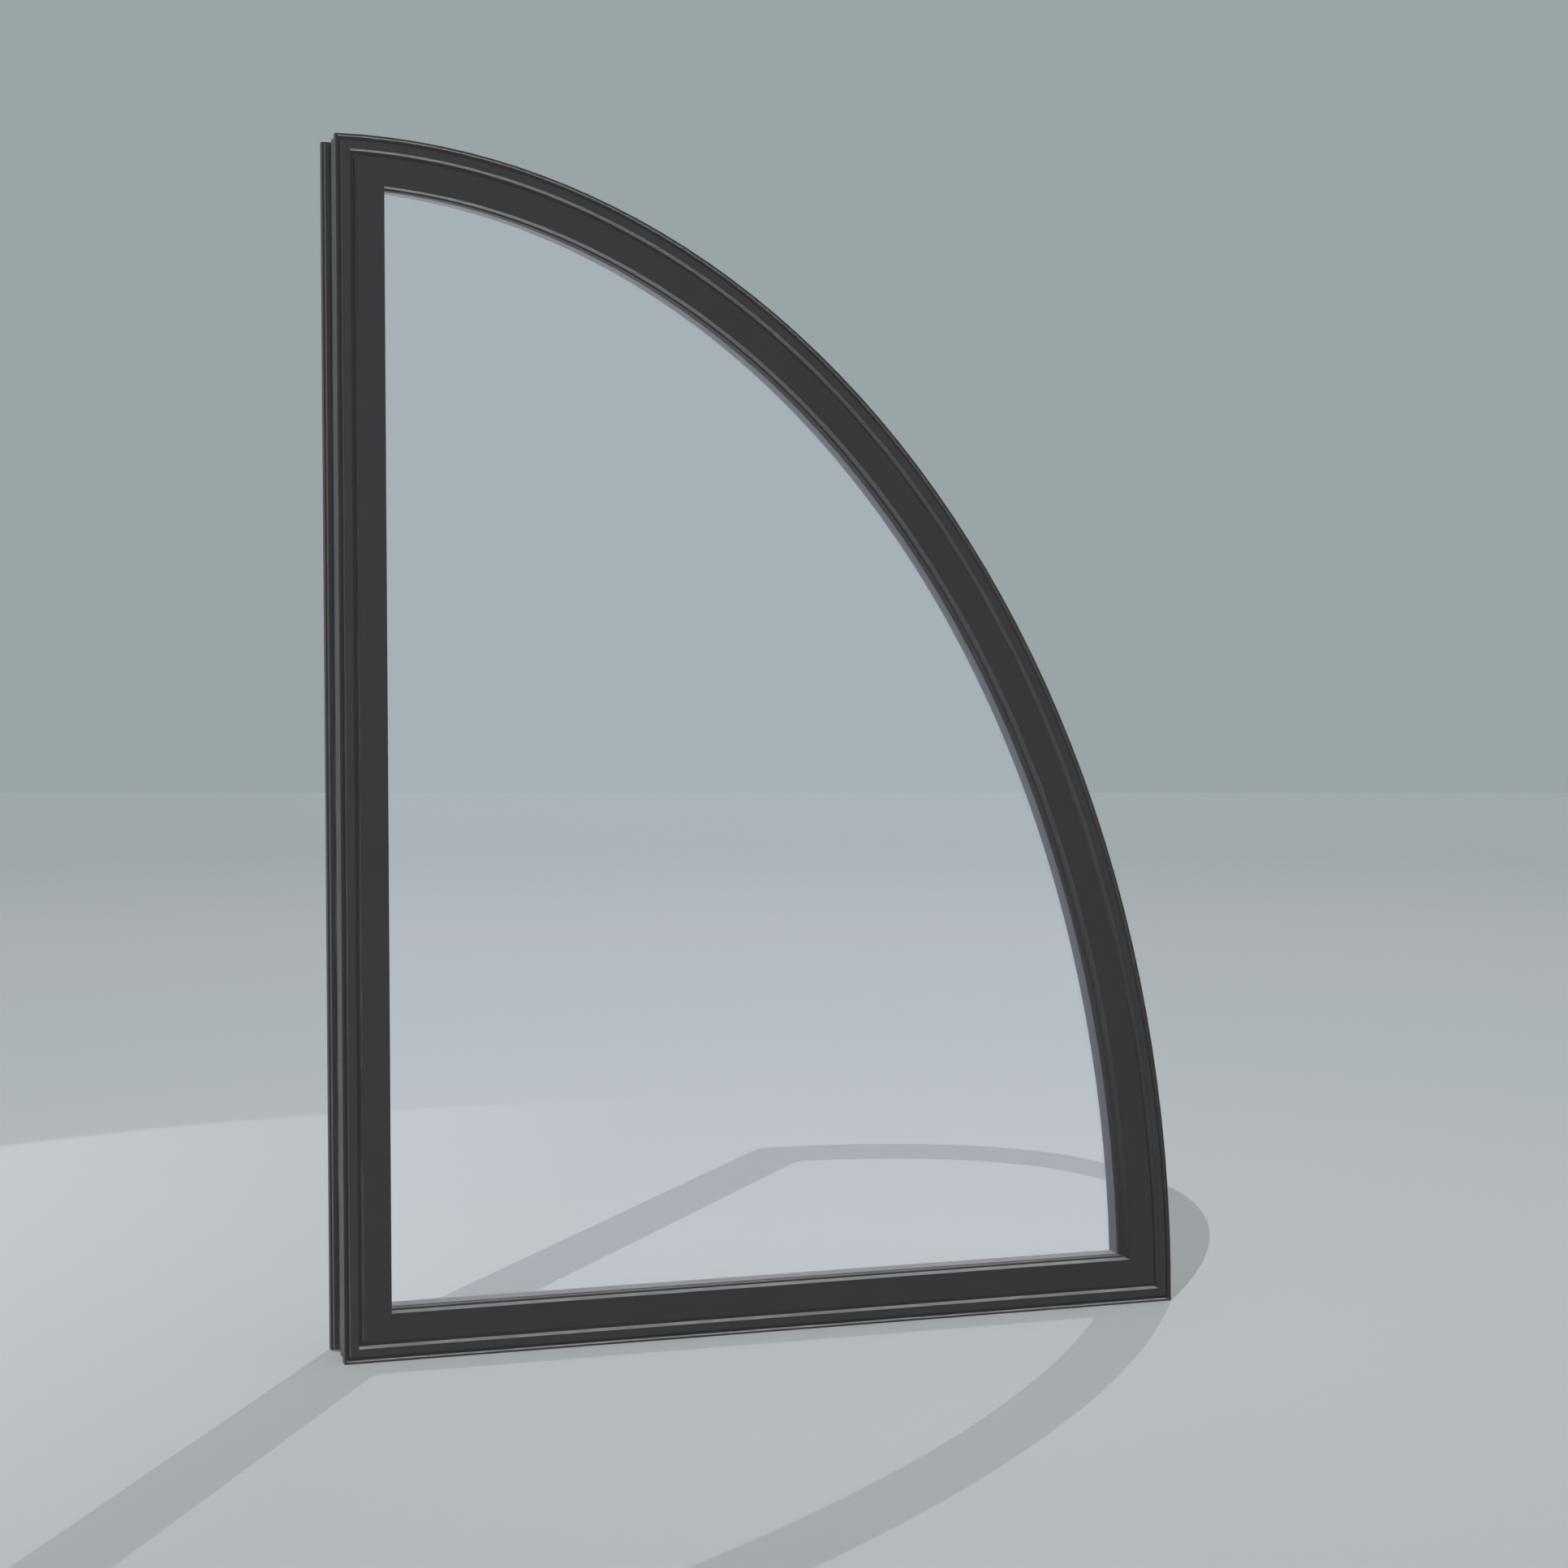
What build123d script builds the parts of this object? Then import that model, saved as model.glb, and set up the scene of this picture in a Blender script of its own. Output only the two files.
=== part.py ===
from build123d import *
import math
import os

# Partial ellipse window: a quarter of an ellipse with an upright jamb on the left, a level sill and
# an elliptical head. Outside is -Y, inside is +Y, Z is up. The origin lies on the underside of the
# sill's rear flange, halfway along it, where the window is bedded on the wall.

# Outline, over the lips of the outer frame
window_height = 1500.0
window_width = 1122.7

# Outer frame, outside half: a thin lip, a narrow groove and the flat face
lip_width = 2.1
groove_width = 5.6
face_width = 10.0
groove_depth = 9.5
lip_back = 11.6
side_setback = 3.1
frame_outer_depth = 41.6
edge_break = 0.4

# Thermal breaks of glass-fibre polyamide
frame_break_depth = 31.9
frame_break_setback = 6.8
frame_break_width = 9.0
sash_break_depth = 14.0
sash_break_inset = 2.0
sash_break_width = 16.0

# Outer frame, inside half, with the rear flange and the stop that the sash closes against
flange_neck_setback = 2.4
flange_neck_depth = 9.8
flange_thickness = 11.2
stop_width = 36.0

# Sash; its back closes against the frame's stop with the inner seal in between
shadow_gap = 7.5
sash_face_width = 34.1
nose_depth = 18.8
rebate_height = 14.3
sash_outer_depth = 40.0
bead_seat_width = 21.8
stop_gap = 4.8

# Sealed unit: two panes and the spacer bar between them
pane_thickness = 4.0
pane_cavity = 12.0
pane_cover = 9.3
spacer_inset = 1.0
spacer_rise = 0.5

# Gaskets and seals
gasket_thickness = 3.0
gasket_rise = 2.1
gasket_height = 8.0
inner_gasket_rise = 0.5
outer_seal_depth = 17.0
outer_seal_thickness = 6.0
inner_seal_width = 8.0
inner_seal_inset = 2.0

# Glazing bead, which ends flush with the back of the sash
bead_rise = 0.8

# Walls of the hollow aluminium extrusions
frame_wall = 2.0
sash_wall = 2.0
bead_wall = 1.5

# Lines that several pieces share, measured inwards from the lip (a) or back from the front (d)
face_start = lip_width + groove_width
face_end = face_start + face_width
sash_start = face_end + shadow_gap
sash_end = sash_start + sash_face_width
rebate_floor = sash_end - rebate_height
frame_inner_front = frame_outer_depth + frame_break_depth
flange_front = frame_inner_front + flange_neck_depth
frame_depth = flange_front + flange_thickness
outer_pane_front = nose_depth + gasket_thickness
outer_pane_back = outer_pane_front + pane_thickness
inner_pane_front = outer_pane_back + pane_cavity
inner_pane_back = inner_pane_front + pane_thickness
bead_front = inner_pane_back + gasket_thickness
sash_back = frame_inner_front - stop_gap
sash_inner_front = sash_outer_depth + sash_break_depth
bead_start = sash_start + bead_seat_width
pane_edge = sash_end - pane_cover

# Places
left_x = -window_width / 2
right_x = window_width / 2
front_y = -(flange_front + frame_depth) / 2


def head_line_at(rise, inset):
    """Distance from the jamb's lip to a line of the head that lies inset, at a height above the sill."""
    angle = math.asin(rise / window_height)
    for _ in range(20):
        nx, nz = math.cos(angle) / window_width, math.sin(angle) / window_height
        length = math.hypot(nx, nz)
        angle = math.asin((rise + inset * nz / length) / window_height)
    return window_width * math.cos(angle) - inset * nx / length


def head_height_at(run, inset):
    """Height above the sill of a line of the head that lies inset, at a distance from the jamb's lip."""
    angle = math.acos(run / window_width)
    for _ in range(20):
        nx, nz = math.cos(angle) / window_width, math.sin(angle) / window_height
        length = math.hypot(nx, nz)
        angle = math.acos((run + inset * nx / length) / window_width)
    return window_height * math.sin(angle) - inset * nz / length


def mitre(corner, inner):
    """Plane of a mitre that runs from an outer corner to an inner one."""
    along = Vector(inner[0] - corner[0], 0, inner[1] - corner[1])
    return Plane(origin=(left_x + corner[0], 0, corner[1]), x_dir=(0, 1, 0), z_dir=Vector(0, 1, 0).cross(along))


# Mitres run from each outer corner to the corner of the sash's daylight opening
sash_foot_x = head_line_at(sash_end, sash_end)
sash_top_z = head_height_at(sash_end, sash_end)
mitre_reach = 1.5
jamb_sill_mitre = mitre((0, 0), (sash_end, sash_end))
sill_head_mitre = mitre((window_width, 0), (sash_foot_x, sash_end))
jamb_head_mitre = mitre((0, window_height), (sash_end, sash_top_z))

# In each section x runs inwards from the lip and y runs back from the front of the frame
jamb_plane = Plane(origin=(left_x, front_y, 0), x_dir=(1, 0, 0), z_dir=(0, 0, 1))
sill_plane = Plane(origin=(right_x, front_y, 0), x_dir=(0, 0, 1), z_dir=(-1, 0, 0))
head_plane = Plane(origin=(right_x, front_y, 0), x_dir=(-1, 0, 0), z_dir=(0, 0, -1))
outline_plane = Plane(origin=(left_x, front_y, 0), x_dir=(1, 0, 0), z_dir=(0, -1, 0))


def outline(points):
    """Closed straight-sided outline of a section, filled."""
    with BuildLine() as edge:
        Polyline(*points, close=True)
    make_face(edge.edges())


def block(start, end, front, back, mode=Mode.ADD):
    """Rectangle of a section between two inward lines and two depths."""
    with Locations(((start + end) / 2, (front + back) / 2)):
        Rectangle(end - start, back - front, mode=mode)


def frame_exterior_section():
    outline([(0, 0), (lip_width, 0), (lip_width, groove_depth), (face_start, groove_depth), (face_start, 0),
             (face_end, 0), (face_end, frame_outer_depth), (side_setback, frame_outer_depth),
             (side_setback, lip_back), (0, lip_back)])
    chamfer(vertices().group_by(Axis.Y)[0], edge_break)
    block(side_setback + frame_wall, face_end - frame_wall,
          lip_back + frame_wall, frame_outer_depth - frame_wall, Mode.SUBTRACT)


def frame_break_section():
    block(frame_break_setback, frame_break_setback + frame_break_width, frame_outer_depth, frame_inner_front)


def frame_interior_section():
    outline([(flange_neck_setback, frame_inner_front), (stop_width, frame_inner_front), (stop_width, frame_depth),
             (0, frame_depth), (0, flange_front), (flange_neck_setback, flange_front)])
    chamfer(vertices().group_by(Axis.Y)[-1], edge_break)
    block(flange_neck_setback + frame_wall, stop_width - frame_wall,
          frame_inner_front + frame_wall, frame_depth - frame_wall, Mode.SUBTRACT)


def sash_exterior_section():
    outline([(sash_start, 0), (sash_end, 0), (sash_end, nose_depth), (rebate_floor, nose_depth),
             (rebate_floor, sash_outer_depth), (sash_start, sash_outer_depth)])
    chamfer(vertices().group_by(Axis.Y)[0], edge_break)
    block(sash_start + sash_wall, sash_end - sash_wall, sash_wall, nose_depth - sash_wall, Mode.SUBTRACT)
    block(sash_start + sash_wall, rebate_floor - sash_wall,
          nose_depth, sash_outer_depth - sash_wall, Mode.SUBTRACT)


def sash_break_section():
    start = sash_start + sash_break_inset
    block(start, start + sash_break_width, sash_outer_depth, sash_inner_front)


def sash_interior_section():
    block(sash_start, bead_start, sash_inner_front, sash_back)
    block(sash_start + sash_wall, bead_start - sash_wall,
          sash_inner_front + sash_wall, sash_back - sash_wall, Mode.SUBTRACT)


def bead_section():
    block(bead_start, sash_end + bead_rise, bead_front, sash_back)
    chamfer(vertices().sort_by(Axis.X)[-2:].sort_by(Axis.Y)[-1], edge_break)
    block(bead_start + bead_wall, sash_end + bead_rise - bead_wall,
          bead_front + bead_wall, sash_back - bead_wall, Mode.SUBTRACT)


def outer_gasket_section():
    top = sash_end + gasket_rise
    block(top - gasket_rise - gasket_height, top, nose_depth, outer_pane_front)
    chamfer(vertices().group_by(Axis.X)[-1].sort_by(Axis.Y)[0], gasket_rise / 2)


def inner_gasket_section():
    top = sash_end + inner_gasket_rise
    block(top - gasket_height, top, inner_pane_back, bead_front)


def spacer_section():
    block(pane_edge + spacer_inset, sash_end + spacer_rise, outer_pane_back, inner_pane_front)


def outer_seal_section():
    block(face_end, sash_start, outer_seal_depth, outer_seal_depth + outer_seal_thickness)


def inner_seal_section():
    start = sash_start + inner_seal_inset
    block(start, start + inner_seal_width, sash_back, frame_inner_front)


def save(piece, label):
    piece.part.label = label
    export_step(piece.part, f"parts/{label}.step")


def make_jamb(section, label):
    with BuildPart() as jamb:
        with BuildSketch(jamb_plane):
            section()
        extrude(amount=window_height)
        split(bisect_by=jamb_sill_mitre, keep=Keep.BOTTOM)
        split(bisect_by=jamb_head_mitre, keep=Keep.TOP)
    save(jamb, label)


def make_sill(section, label):
    with BuildPart() as sill:
        with BuildSketch(sill_plane):
            section()
        extrude(amount=window_width)
        split(bisect_by=jamb_sill_mitre, keep=Keep.TOP)
        split(bisect_by=sill_head_mitre, keep=Keep.BOTTOM)
    save(sill, label)


def head_path():
    with BuildLine(outline_plane) as path:
        EllipticalCenterArc((0, 0), window_width, window_height, start_angle=0, arc_size=90)
    return path.line


def corner_sketch(corner, inner):
    """Triangle on the jamb's or the sill's side of a mitre, reaching past the widest section."""
    reach = tuple(c + (i - c) * mitre_reach for c, i in zip(corner, inner))
    square = (reach[0], corner[1]) if corner[1] == 0 else (corner[0], reach[1])
    with BuildLine() as edge:
        Polyline(corner, reach, square, close=True)
    make_face(edge.edges())


def make_head(section, label):
    with BuildPart() as head:
        with BuildSketch(head_plane):
            section()
        sweep(path=head_path())
        with BuildSketch(outline_plane):
            corner_sketch((window_width, 0), (sash_foot_x, sash_end))
            corner_sketch((0, window_height), (sash_end, sash_top_z))
        extrude(amount=-frame_depth, mode=Mode.SUBTRACT)
    save(head, label)


def make_pane(front, label):
    with BuildPart() as pane:
        with BuildSketch(outline_plane.offset(-front)):
            Ellipse(window_width, window_height)
            with Locations((pane_edge, pane_edge)):
                Rectangle(window_width, window_height, align=(Align.MIN, Align.MIN), mode=Mode.INTERSECT)
        extrude(amount=-pane_thickness)
        with BuildSketch(head_plane):
            block(-pane_edge, pane_edge, front, front + pane_thickness)
        sweep(path=head_path(), mode=Mode.SUBTRACT)
    save(pane, label)


sections = {
    "frame_exterior": frame_exterior_section,
    "frame_thermal_break": frame_break_section,
    "frame_interior": frame_interior_section,
    "sash_exterior": sash_exterior_section,
    "sash_thermal_break": sash_break_section,
    "sash_interior": sash_interior_section,
    "glazing_bead": bead_section,
    "outer_gasket": outer_gasket_section,
    "inner_gasket": inner_gasket_section,
    "spacer_bar": spacer_section,
    "outer_seal": outer_seal_section,
    "inner_seal": inner_seal_section,
}
members = {"jamb": make_jamb, "sill": make_sill, "head": make_head}

os.makedirs("parts", exist_ok=True)
for member, make in members.items():
    for name, section in sections.items():
        make(section, f"{member}_{name}")
make_pane(outer_pane_front, "outer_pane")
make_pane(inner_pane_front, "inner_pane")
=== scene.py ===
import math

import bpy
from mathutils import Euler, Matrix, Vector

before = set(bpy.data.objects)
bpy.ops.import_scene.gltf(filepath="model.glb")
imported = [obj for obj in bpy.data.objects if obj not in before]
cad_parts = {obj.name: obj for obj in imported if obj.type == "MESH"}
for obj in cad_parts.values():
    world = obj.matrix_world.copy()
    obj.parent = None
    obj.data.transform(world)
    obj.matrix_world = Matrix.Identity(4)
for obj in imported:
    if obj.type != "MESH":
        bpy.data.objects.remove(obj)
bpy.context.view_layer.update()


# Outer frame: hollow aluminium extrusions, mitred and crimped at the three corners. They have a satin
# anthracite powder coat, which flows as it is baked into a fine, even orange peel. The eye sees a soft
# sheen along the edges and no sharp reflection.
MEMBERS = ("jamb", "sill", "head")
SHADE_CLOUDS_PER_METRE = 9.0  # clouds about 110 mm wide
GLOSS_CLOUDS_PER_METRE = 40.0  # clouds 25 mm wide
PEEL_PER_METRE = 900.0  # bumps about 1.1 mm wide
PEEL_HEIGHT = 0.00002


def linear(code):
    """An sRGB hex colour as the linear values that Blender's sockets take."""
    parts = [int(code[i:i + 2], 16) / 255 for i in (1, 3, 5)]
    return tuple(c / 12.92 if c <= 0.04045 else ((c + 0.055) / 1.055) ** 2.4 for c in parts) + (1.0,)


def add(material, kind, inputs=None, **settings):
    """Adds a node, sets its properties and its inputs: a value, or another node's output to link."""
    node = material.node_tree.nodes.new(kind)
    for name, value in settings.items():
        setattr(node, name, value)
    for name, value in (inputs or {}).items():
        if isinstance(value, bpy.types.NodeSocket):
            material.node_tree.links.new(value, node.inputs[name])
        else:
            node.inputs[name].default_value = value
    return node


def new_material(name):
    material = bpy.data.materials.new(name)
    material.use_nodes = True
    material.node_tree.nodes.clear()
    return material


def mottled(material, where, dark, light, clouds_per_metre):
    """A colour that wanders in soft clouds between two near values."""
    clouds = add(material, "ShaderNodeTexNoise", {"Vector": where, "Scale": clouds_per_metre, "Detail": 3.0})
    mix = add(material, "ShaderNodeMix", {"Factor": clouds.outputs["Fac"]}, data_type="RGBA")
    mix.inputs["A"].default_value = linear(dark)
    mix.inputs["B"].default_value = linear(light)
    return mix.outputs["Result"]


def powder_coat(name, dark, light, roughness, sheen):
    """Powder coat between two near shades, with its gloss drifting between two roughnesses."""
    material = new_material(name)
    where = add(material, "ShaderNodeTexCoord").outputs["Object"]
    colour = mottled(material, where, dark, light, SHADE_CLOUDS_PER_METRE)
    cloud = add(material, "ShaderNodeTexNoise", {
        "Vector": where, "Scale": GLOSS_CLOUDS_PER_METRE, "Detail": 2.0})
    rough = add(material, "ShaderNodeMapRange", {
        "Value": cloud.outputs["Fac"], "To Min": roughness[0], "To Max": roughness[1]})
    peel = add(material, "ShaderNodeTexNoise", {"Vector": where, "Scale": PEEL_PER_METRE, "Detail": 1.5})
    bump = add(material, "ShaderNodeBump", {
        "Height": peel.outputs["Fac"], "Strength": 0.12, "Distance": PEEL_HEIGHT})
    shader = add(material, "ShaderNodeBsdfPrincipled", {
        "Base Color": colour, "Roughness": rough.outputs["Result"], "Normal": bump.outputs["Normal"],
        "Specular IOR Level": 0.22, "IOR": 1.5, "Sheen Weight": sheen, "Sheen Roughness": 0.5})
    add(material, "ShaderNodeOutputMaterial", {"Surface": shader.outputs["BSDF"]})
    return material


def lengths(*profiles):
    """The CAD nodes of some profiles: their lengths along the jamb, the sill and the head."""
    return [f"{member}_{profile}" for member in MEMBERS for profile in profiles]


def dress(nodes, material):
    """Gives CAD nodes their material."""
    for name in nodes:
        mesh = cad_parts[name].data
        mesh.materials.clear()
        mesh.materials.append(material)


frame_coat = powder_coat("powder coated frame", "#232323", "#282828", roughness=(0.42, 0.50), sheen=0.20)
dress(lengths("frame_exterior", "frame_interior"), frame_coat)


# Sash: its own hollow extrusions, mitred and crimped like the frame's, and carried in the frame by its
# seals. The same powder coat was baked on it in another batch, so it is a shade off the frame's.
sash_coat = powder_coat("powder coated sash", "#222222", "#272727", roughness=(0.42, 0.50), sheen=0.12)
dress(lengths("sash_exterior", "sash_interior"), sash_coat)


# Glazing beads: thin hollow extrusions that clip into the sash from indoors after the glass is set.
# Their powder coat is a little lighter and smoother than the sash's.
bead_coat = powder_coat("powder coated bead", "#2D2D2D", "#323232", roughness=(0.40, 0.46), sheen=0.20)
dress(lengths("glazing_bead"), bead_coat)


# Thermal breaks: bars of polyamide with glass fibre, rolled into the aluminium on both sides to hold
# its two halves apart. The die leaves fine lines along the bar, which the eye sees as a matt grain.
BAR_CLOUDS_PER_METRE = 25.0  # clouds 40 mm wide
DIE_LINES = 220.0  # lines about 1.4 mm apart, coarser than the real ones so that they show
DIE_LINE_HEIGHT = 0.00003

polyamide = new_material("glass fibre polyamide")
where = add(polyamide, "ShaderNodeTexCoord").outputs["Object"]
colour = mottled(polyamide, where, "#2A2B2C", "#333435", BAR_CLOUDS_PER_METRE)
lines = add(polyamide, "ShaderNodeTexWave", {
    "Vector": where, "Scale": DIE_LINES, "Distortion": 1.5, "Detail": 2.0}, bands_direction="Y")
bump = add(polyamide, "ShaderNodeBump", {
    "Height": lines.outputs["Fac"], "Strength": 0.2, "Distance": DIE_LINE_HEIGHT})
shader = add(polyamide, "ShaderNodeBsdfPrincipled", {
    "Base Color": colour, "Roughness": 0.42, "Normal": bump.outputs["Normal"]})
add(polyamide, "ShaderNodeOutputMaterial", {"Surface": shader.outputs["BSDF"]})
dress(lengths("frame_thermal_break", "sash_thermal_break"), polyamide)


# Gaskets and seals: extruded black EPDM rubber, pushed into their seats round the glass and the sash.
# A faint bloom on the skin makes the black a dull dark grey, and the grey is also painted lighter to make up
# for the shade that falls on the seals deep in the gap between frame and sash.
BLOOM_CLOUDS_PER_METRE = 60.0  # clouds about 17 mm wide
SKIN_GRAINS_PER_METRE = 1500.0  # grains about 0.7 mm wide
SKIN_HEIGHT = 0.00004

rubber = new_material("black EPDM rubber")
where = add(rubber, "ShaderNodeTexCoord").outputs["Object"]
# The rubber's grey is partly painted light: lighter than the bloom alone makes it, against the shade in the
# gap
colour = mottled(rubber, where, "#323334", "#393A3B", BLOOM_CLOUDS_PER_METRE)
skin = add(rubber, "ShaderNodeTexNoise", {"Vector": where, "Scale": SKIN_GRAINS_PER_METRE, "Detail": 2.0})
bump = add(rubber, "ShaderNodeBump", {
    "Height": skin.outputs["Fac"], "Strength": 0.3, "Distance": SKIN_HEIGHT})
shader = add(rubber, "ShaderNodeBsdfPrincipled", {
    "Base Color": colour, "Roughness": 0.55, "Normal": bump.outputs["Normal"], "Specular IOR Level": 0.2})
add(rubber, "ShaderNodeOutputMaterial", {"Surface": shader.outputs["BSDF"]})
dress(lengths("outer_gasket", "inner_gasket", "outer_seal", "inner_seal"), rubber)


# Spacer bars: dark warm-edge spacers of extruded plastic, bonded between the panes at their edges.
# The skin is finely pitted, which the eye sees through the glass as a matt dark line.
SPACER_CLOUDS_PER_METRE = 30.0  # clouds about 33 mm wide
PITS_PER_METRE = 400.0  # pits 2.5 mm apart
PIT_DEPTH = 0.00005

spacer = new_material("warm edge spacer")
where = add(spacer, "ShaderNodeTexCoord").outputs["Object"]
colour = mottled(spacer, where, "#3A3B3D", "#434446", SPACER_CLOUDS_PER_METRE)
pits = add(spacer, "ShaderNodeTexVoronoi", {"Vector": where, "Scale": PITS_PER_METRE})
bump = add(spacer, "ShaderNodeBump", {
    "Height": pits.outputs["Distance"], "Strength": 0.2, "Distance": PIT_DEPTH})
shader = add(spacer, "ShaderNodeBsdfPrincipled", {
    "Base Color": colour, "Roughness": 0.55, "Normal": bump.outputs["Normal"], "Specular IOR Level": 0.2})
add(spacer, "ShaderNodeOutputMaterial", {"Surface": shader.outputs["BSDF"]})
dress(lengths("spacer_bar"), spacer)


# Panes: two sheets of clear float glass with a low-emissivity coat, which makes their reflections
# faintly blue. They wave very slightly. The glass refracts for the eye, while shadow rays, scattered
# light and mirrored rays go straight through it, so that no light is counted twice on the floor.
WAVES_PER_METRE = 3.0  # waves about 330 mm long
WAVE_HEIGHT = 0.0002

glass = new_material("clear float glass")
where = add(glass, "ShaderNodeTexCoord").outputs["Object"]
wave = add(glass, "ShaderNodeTexNoise", {"Vector": where, "Scale": WAVES_PER_METRE, "Detail": 0.0})
bump = add(glass, "ShaderNodeBump", {
    "Height": wave.outputs["Fac"], "Strength": 0.02, "Distance": WAVE_HEIGHT})
refracting = add(glass, "ShaderNodeBsdfPrincipled", {
    "Base Color": linear("#FEFEFE"), "Roughness": 0.0, "IOR": 1.5, "Transmission Weight": 1.0,
    "Specular Tint": linear("#E8EEFF"), "Normal": bump.outputs["Normal"]})
clear = add(glass, "ShaderNodeBsdfTransparent", {"Color": linear("#FDFEFE")})
ray = add(glass, "ShaderNodeLightPath")
mirrored = add(glass, "ShaderNodeMath", {
    0: ray.outputs["Is Glossy Ray"], 1: ray.outputs["Is Transmission Ray"]},
    operation="SUBTRACT", use_clamp=True)
bounced = add(glass, "ShaderNodeMath", {
    0: ray.outputs["Is Diffuse Ray"], 1: mirrored.outputs["Value"]}, operation="MAXIMUM")
passing = add(glass, "ShaderNodeMath", {
    0: ray.outputs["Is Shadow Ray"], 1: bounced.outputs["Value"]}, operation="MAXIMUM")
mix = add(glass, "ShaderNodeMixShader", {
    "Fac": passing.outputs["Value"], 1: refracting.outputs["BSDF"], 2: clear.outputs["BSDF"]})
add(glass, "ShaderNodeOutputMaterial", {"Surface": mix.outputs["Shader"]})
dress(["outer_pane", "inner_pane"], glass)


# Studio floor: a pale square sweep in line with the camera, whose far edge is the horizon of the view.
# Light is painted into its colour: it is painted lighter round the window, and a pool of stray light is
# painted on it that ends 1.9 m from the window at the left. Nothing on the window mirrors it.
VIEW_TURN = math.radians(-19.360)
VIEW_FOOT = Vector((-1.36755, -4.0113, 0.0))
FLOOR_AHEAD = 16.0
FLOOR_SIDE = 26.0
FLOOR_DROP = Vector((0.0, 0.0, -0.0005))
# Distance from the window in metres, and the floor's colour there, painted lighter near the window
FLOOR_SHADES = (
    (0.64, "#D2D8DA"), (0.92, "#D0D6D8"), (2.0, "#C9D0D3"),
    (3.12, "#C3CCCF"), (5.04, "#C0C6C9"), (8.0, "#B1BCBD"))
# The painted pool of stray light: the way it lies, where it starts and is full, its edge, and how much
# lighter it paints the floor
POOL_WAY = (-0.9, 0.44, 0.0)
POOL_STARTS, POOL_IS_FULL = 0.4, 1.4
POOL_EDGE, POOL_INSIDE = 1.90, 1.86
POOL_GAIN = 0.25

half = FLOOR_SIDE / 2
floor_mesh = bpy.data.meshes.new("studio_floor")
floor_mesh.from_pydata(
    [(-half, -half, 0), (half, -half, 0), (half, half, 0), (-half, half, 0)], [], [(0, 1, 2, 3)])
floor = bpy.data.objects.new("studio_floor", floor_mesh)
ahead = Vector((-math.sin(VIEW_TURN), math.cos(VIEW_TURN), 0.0))
floor.location = VIEW_FOOT + ahead * (FLOOR_AHEAD - half) + FLOOR_DROP
floor.rotation_euler = (0.0, 0.0, VIEW_TURN)
floor.visible_glossy = False
bpy.context.scene.collection.objects.link(floor)

floor_paint = new_material("pale studio floor")
where = add(floor_paint, "ShaderNodeNewGeometry").outputs["Position"]
distance = add(floor_paint, "ShaderNodeVectorMath", {0: where}, operation="LENGTH").outputs["Value"]
farthest = FLOOR_SHADES[-1][0]
share = add(floor_paint, "ShaderNodeMath", {0: distance, 1: farthest}, operation="DIVIDE")
# Painted light: the floor's colour is painted lighter the nearer it lies to the window
ramp = add(floor_paint, "ShaderNodeValToRGB", {"Fac": share.outputs["Value"]})
stops = ramp.color_ramp.elements
stops[0].position = FLOOR_SHADES[0][0] / farthest
stops[1].position = 1.0
for metres, code in FLOOR_SHADES[1:-1]:
    stops.new(metres / farthest)
for stop, (metres, code) in zip(stops, FLOOR_SHADES):
    stop.color = linear(code)
# Painted light: the pool of stray light is painted into the floor's colour as a gain on the ramp
leftwards = add(floor_paint, "ShaderNodeVectorMath", {0: where, 1: POOL_WAY}, operation="DOT_PRODUCT")
rise = add(floor_paint, "ShaderNodeMapRange", {
    "Value": leftwards.outputs["Value"], "From Min": POOL_STARTS, "From Max": POOL_IS_FULL})
painted_pool = add(floor_paint, "ShaderNodeMapRange", {
    "Value": distance, "From Min": POOL_EDGE, "From Max": POOL_INSIDE, "To Max": POOL_GAIN})
painted_light_gain = add(floor_paint, "ShaderNodeMath", {
    0: rise.outputs["Result"], 1: painted_pool.outputs["Result"], 2: 1.0}, operation="MULTIPLY_ADD")
colour = add(floor_paint, "ShaderNodeVectorMath", {
    0: ramp.outputs["Color"], "Scale": painted_light_gain.outputs["Value"]}, operation="SCALE")
shader = add(floor_paint, "ShaderNodeBsdfPrincipled", {
    "Base Color": colour.outputs["Vector"], "Roughness": 0.9, "Specular IOR Level": 0.1})
add(floor_paint, "ShaderNodeOutputMaterial", {"Surface": shader.outputs["BSDF"]})
floor_mesh.materials.append(floor_paint)


# Surroundings: a plain grey backdrop for the eye. The room's soft light is stronger in front of the
# window than behind it, with one pale blue panel that shows in the glass and is brighter low down.
BACKDROP = "#9BA5A7"
ROOM_IN_FRONT = (0.42, 0.43, 0.46, 1.0)
ROOM_BEHIND = (0.16, 0.16, 0.165, 1.0)
ROOM_ABOVE = (0.18, 0.184, 0.188, 1.0)
PANEL_WAY = (0.31, -0.95, -0.05)
PANEL_RIM, PANEL_FULL = 0.92, 0.96
PANEL_TOP = (0.89, 0.93, 1.05, 1.0)
PANEL_FOOT = (1.12, 1.10, 1.17, 1.0)
# How far each way in the room points back, up or down, from where one light ends to where the next is full
FRONT_ENDS, BACK_STARTS = -0.5, 0.5
SIDES_END, TOP_STARTS = 0.1, 0.9
PANEL_TOP_ENDS, PANEL_FOOT_STARTS = -0.08, -0.19

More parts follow.
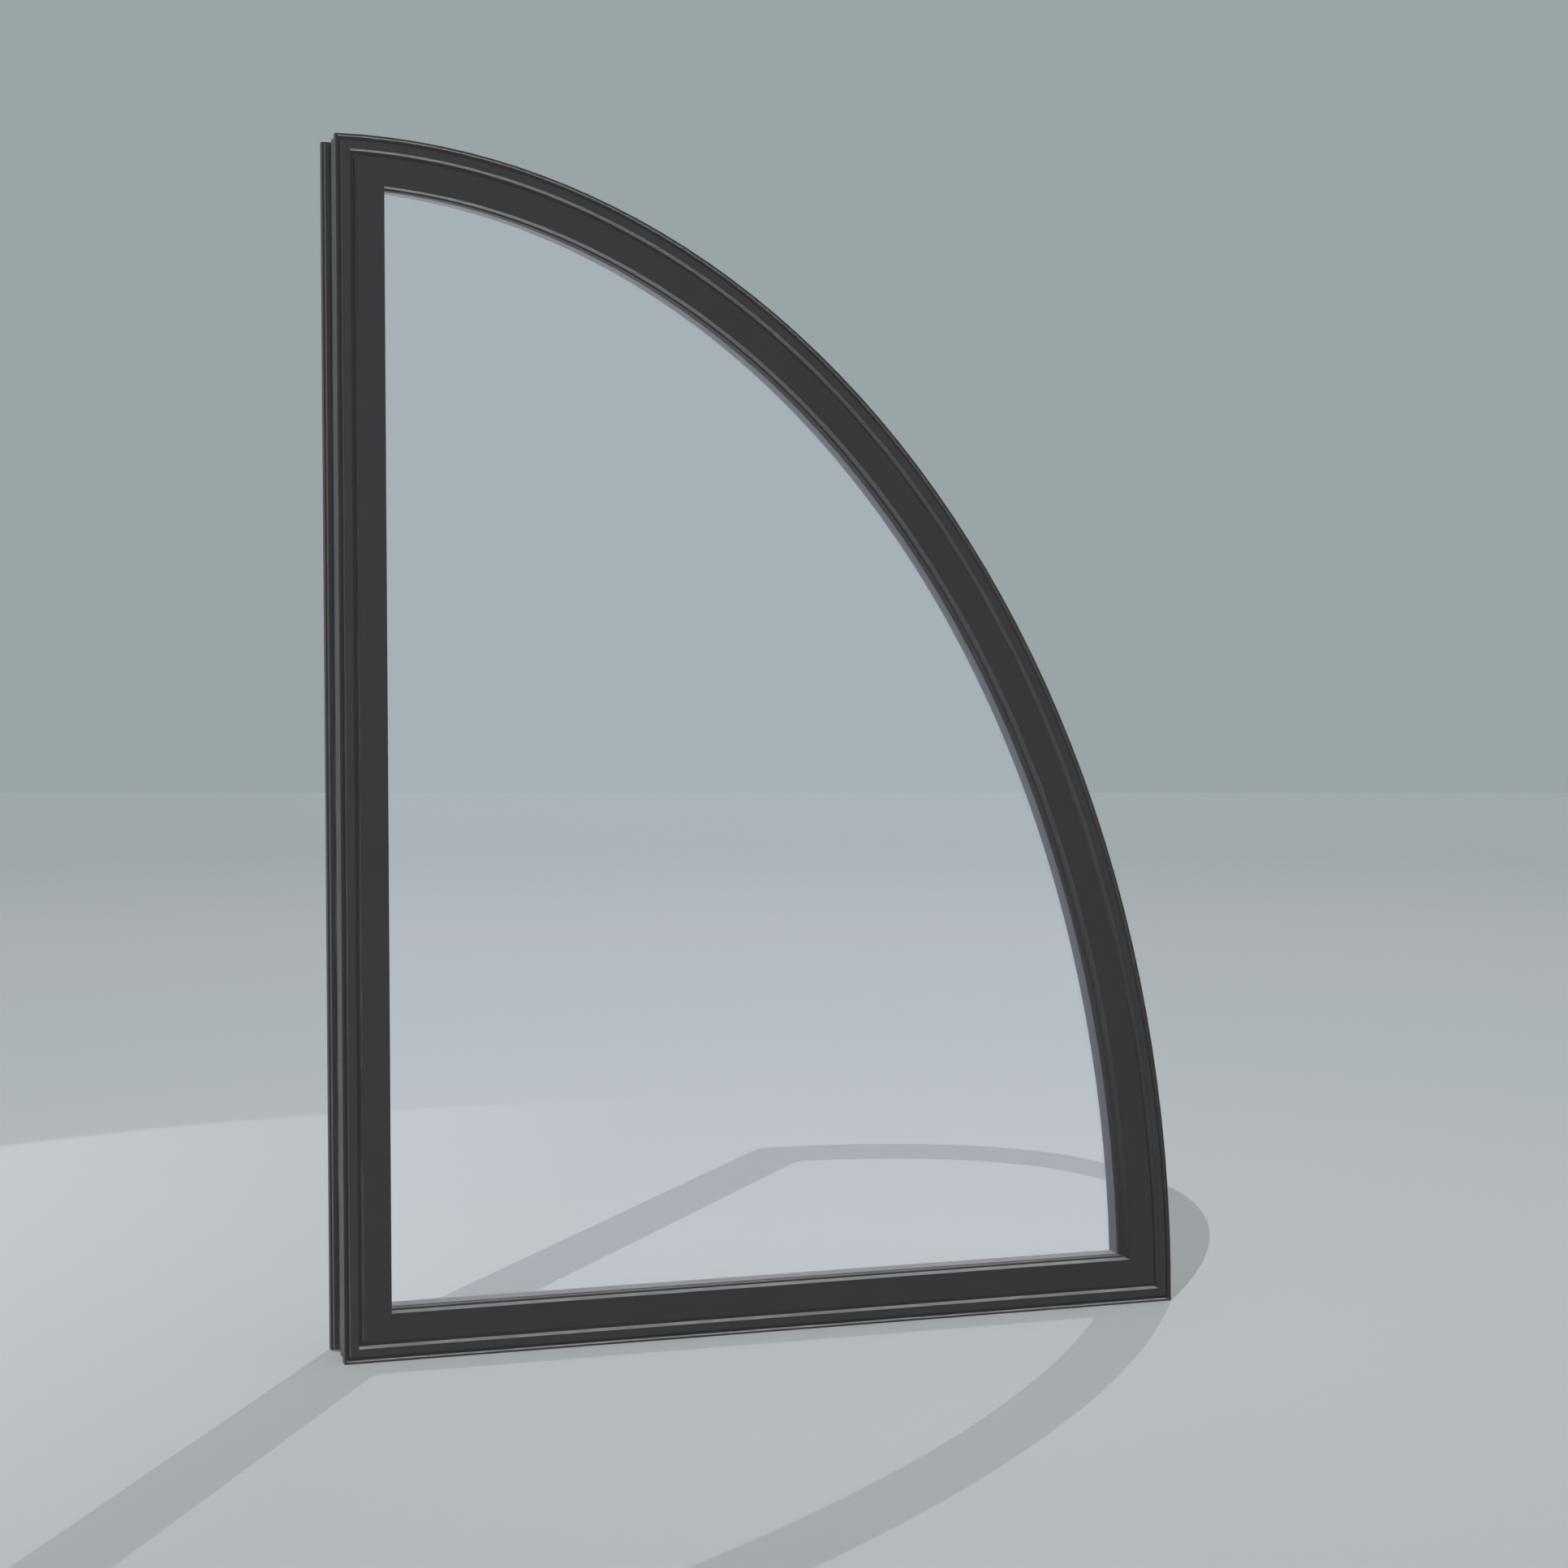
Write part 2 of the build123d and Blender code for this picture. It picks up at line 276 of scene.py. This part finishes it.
world = bpy.data.worlds.new("studio")
bpy.context.scene.world = world
world.use_nodes = True
world.node_tree.nodes.clear()
way = add(world, "ShaderNodeTexCoord").outputs["Generated"]
axes = add(world, "ShaderNodeSeparateXYZ", {0: way})
turned = add(world, "ShaderNodeMapRange", {
    "Value": axes.outputs["Y"], "From Min": FRONT_ENDS, "From Max": BACK_STARTS})
side = add(world, "ShaderNodeMix", {"Factor": turned.outputs["Result"]}, data_type="RGBA")
side.inputs["A"].default_value = ROOM_IN_FRONT
side.inputs["B"].default_value = ROOM_BEHIND
height = add(world, "ShaderNodeMapRange", {
    "Value": axes.outputs["Z"], "From Min": SIDES_END, "From Max": TOP_STARTS})
room = add(world, "ShaderNodeMix", {
    "Factor": height.outputs["Result"], "A": side.outputs["Result"]}, data_type="RGBA")
room.inputs["B"].default_value = ROOM_ABOVE
lower = add(world, "ShaderNodeMapRange", {
    "Value": axes.outputs["Z"], "From Min": PANEL_TOP_ENDS, "From Max": PANEL_FOOT_STARTS})
panel_colour = add(world, "ShaderNodeMix", {"Factor": lower.outputs["Result"]}, data_type="RGBA")
panel_colour.inputs["A"].default_value = PANEL_TOP
panel_colour.inputs["B"].default_value = PANEL_FOOT
towards = add(world, "ShaderNodeVectorMath", {0: way, 1: PANEL_WAY}, operation="DOT_PRODUCT")
panel = add(world, "ShaderNodeMapRange", {
    "Value": towards.outputs["Value"], "From Min": PANEL_RIM, "From Max": PANEL_FULL})
light = add(world, "ShaderNodeMix", {
    "Factor": panel.outputs["Result"], "A": room.outputs["Result"], "B": panel_colour.outputs["Result"]},
    data_type="RGBA")

# The backdrop shows to rays from the eye that have met nothing or only glass, so haven't bounced yet
ray = add(world, "ShaderNodeLightPath")
straight = add(world, "ShaderNodeMath", {
    0: ray.outputs["Is Camera Ray"], 1: ray.outputs["Is Transmission Ray"]}, operation="MAXIMUM")
bounces = add(world, "ShaderNodeMath", {0: ray.outputs["Diffuse Depth"], 1: ray.outputs["Glossy Depth"]})
direct = add(world, "ShaderNodeMath", {0: bounces.outputs["Value"], 1: 0.5}, operation="LESS_THAN")
seen = add(world, "ShaderNodeMath", {
    0: straight.outputs["Value"], 1: direct.outputs["Value"]}, operation="MULTIPLY")
shown = add(world, "ShaderNodeMix", {
    "Factor": seen.outputs["Value"], "A": light.outputs["Result"]}, data_type="RGBA")
shown.inputs["B"].default_value = linear(BACKDROP)
background = add(world, "ShaderNodeBackground", {"Color": shown.outputs["Result"], "Strength": 1.0})
add(world, "ShaderNodeOutputWorld", {"Surface": background.outputs["Background"]})


# Lamps: a narrow one in front at the left and one behind at the right cast the shadows. Three broad
# fill lamps, in front, behind and low behind, cast none, so that light reaches the bottom of the grooves.
def sun(name, run, strength, spread, shadow=True):
    """A distant lamp; its light travels along run, and it looks spread degrees wide."""
    data = bpy.data.lights.new(name, "SUN")
    data.energy = strength
    data.angle = math.radians(spread)
    data.use_shadow = shadow
    data.cycles.use_multiple_importance_sampling = shadow
    lamp = bpy.data.objects.new(name, data)
    lamp.rotation_euler = Vector(run).to_track_quat("-Z", "Y").to_euler()
    bpy.context.scene.collection.objects.link(lamp)


sun("front_lamp", run=(0.665, 0.835, -1.0), strength=1.03, spread=0.25)
sun("rear_lamp", run=(-0.576, -0.98, -1.0), strength=0.64, spread=0.25)
sun("front_fill", run=(0.12, 1.0, -0.15), strength=1.20, spread=60.0, shadow=False)
sun("back_fill", run=(-0.42, -0.94, -0.23), strength=0.85, spread=58.0, shadow=False)
sun("upward_fill", run=(-0.36, -1.0, 0.30), strength=0.75, spread=58.0, shadow=False)


# Camera: solved from the photograph. It stands in front at the left, a little over half the window's
# height up, looks down slightly, and has 27 degrees of view.
EYE_HEIGHT = 0.93625
LEVEL = 90.0
DIP = 3.191

lens = bpy.data.cameras.new("camera")
lens.sensor_width = 36.0
lens.lens = 75.0
camera = bpy.data.objects.new("camera", lens)
camera.location = VIEW_FOOT + Vector((0.0, 0.0, EYE_HEIGHT))
camera.rotation_euler = Euler((math.radians(LEVEL - DIP), 0.0, VIEW_TURN), "XYZ")
bpy.context.scene.collection.objects.link(camera)
bpy.context.scene.camera = camera
bpy.context.scene.view_settings.view_transform = "Standard"
